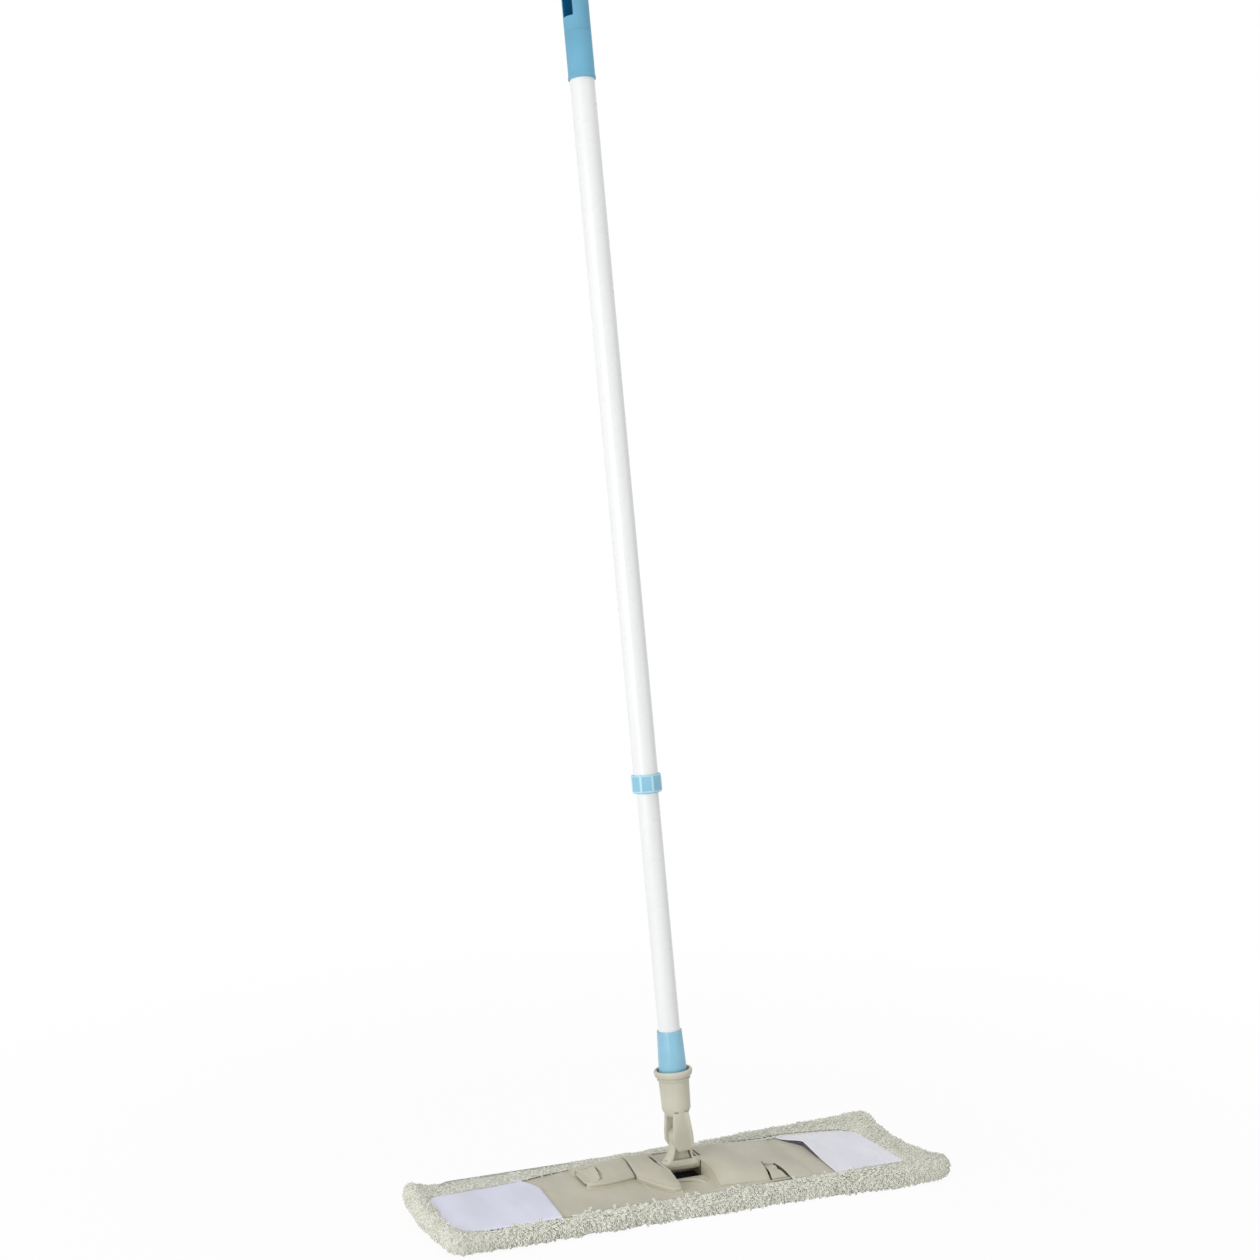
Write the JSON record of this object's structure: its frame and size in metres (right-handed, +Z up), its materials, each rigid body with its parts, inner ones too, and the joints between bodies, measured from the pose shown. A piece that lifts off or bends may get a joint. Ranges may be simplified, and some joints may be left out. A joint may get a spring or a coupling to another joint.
{
  "type": "microfibre flat mop",
  "caption": "Floor mop with a folding pocket head in a loop-pile pad, a joint that tilts both ways and a straight telescopic handle with a twist lock and a hanging slot.",
  "frame": {"origin": "on the floor under the sole of the pad, straight below the middle of the tilt axle", "axes": "+X along the head to the viewer's right, +Y to the back, +Z up"},
  "size_m": [0.4706, 0.1758, 1.1062],
  "materials": {
    "pile": "looped microfibre pile",
    "satin": "smooth pale lavender cloth",
    "head_plastic": "satin moulded plastic",
    "joint_plastic": "satin moulded plastic",
    "blue_plastic": "pale blue semi-gloss plastic",
    "white_tube": "white gloss coat on a thin metal tube",
    "steel": "plain steel",
    "inner_plastic": "plain moulded plastic"
  },
  "bodies": {
    "head": {"carrier": "head_plastic", "tilt_axle": "steel", "left_fold_pin": "steel", "right_fold_pin": "steel", "pad_middle": "pile", "pad_fold_left": "pile", "pad_fold_right": "pile"},
    "wing_left": {"left_wing": "head_plastic", "left_pocket": "satin", "pad_left": "pile", "left_latch_spring": "steel", "left_tab_pin": "steel"},
    "wing_right": {"right_wing": "head_plastic", "right_pocket": "satin", "pad_right": "pile", "right_latch_spring": "steel", "right_tab_pin": "steel"},
    "tab_left": {"left_release_tab": "head_plastic"},
    "tab_right": {"right_release_tab": "head_plastic"},
    "knuckle": {"tilt_knuckle": "joint_plastic"},
    "handle_lower": {"swivel_socket": "joint_plastic", "fork_pin": "steel", "ferrule": "blue_plastic", "lower_tube": "white_tube", "guide_plug": "inner_plastic"},
    "handle_upper": {"upper_tube": "white_tube", "lock_sleeve": "inner_plastic", "lock_collet": "inner_plastic", "grip_sleeve": "blue_plastic", "hanging_cap": "blue_plastic"},
    "collar": {"lock_collar": "blue_plastic"}
  },
  "joints": [
    {"name": "fold_left", "type": "hinge", "parent": "head", "child": "wing_left", "pos_m": [-0.044, 0, 0.01355], "axis": [0, -1, 0], "range_deg": [0, 70], "deforming": ["pad_fold_left", "left_latch_spring"]},
    {"name": "fold_right", "type": "hinge", "parent": "head", "child": "wing_right", "pos_m": [0.044, 0, 0.01355], "axis": [0, 1, 0], "range_deg": [0, 70], "deforming": ["pad_fold_right", "right_latch_spring"]},
    {"name": "press_left", "type": "hinge", "parent": "wing_left", "child": "tab_left", "pos_m": [-0.0781, 0.011, 0.0208], "axis": [0, -1, 0], "range_deg": [0, 5], "stiffness_Nm_per_rad": 0.5, "deforming": ["left_latch_spring"]},
    {"name": "press_right", "type": "hinge", "parent": "wing_right", "child": "tab_right", "pos_m": [0.07425, -0.03, 0.0201], "axis": [1, 0, 0], "range_deg": [0, 4], "stiffness_Nm_per_rad": 0.5, "deforming": ["right_latch_spring"]},
    {"name": "tilt", "type": "hinge", "parent": "head", "child": "knuckle", "pos_m": [0, 0, 0.0235], "axis": [1, 0, 0], "range_deg": [-65.1, 74.9]},
    {"name": "swing", "type": "hinge", "parent": "knuckle", "child": "handle_lower", "pos_m": [0, 0.00208, 0.04781], "axis": [0, 0.9963, -0.0854], "range_deg": [-36.4, 43.6]},
    {"name": "telescope", "type": "slide", "parent": "handle_lower", "child": "handle_upper", "axis": [-0.0628, 0.0852, 0.9944], "range_m": [-0.205, 0.26]},
    {"name": "collar_twist", "type": "hinge", "parent": "handle_upper", "child": "collar", "pos_m": [-0.01984, 0.02902, 0.36203], "axis": [-0.0628, 0.0852, 0.9944], "range_deg": [0, 120]}
  ]
}
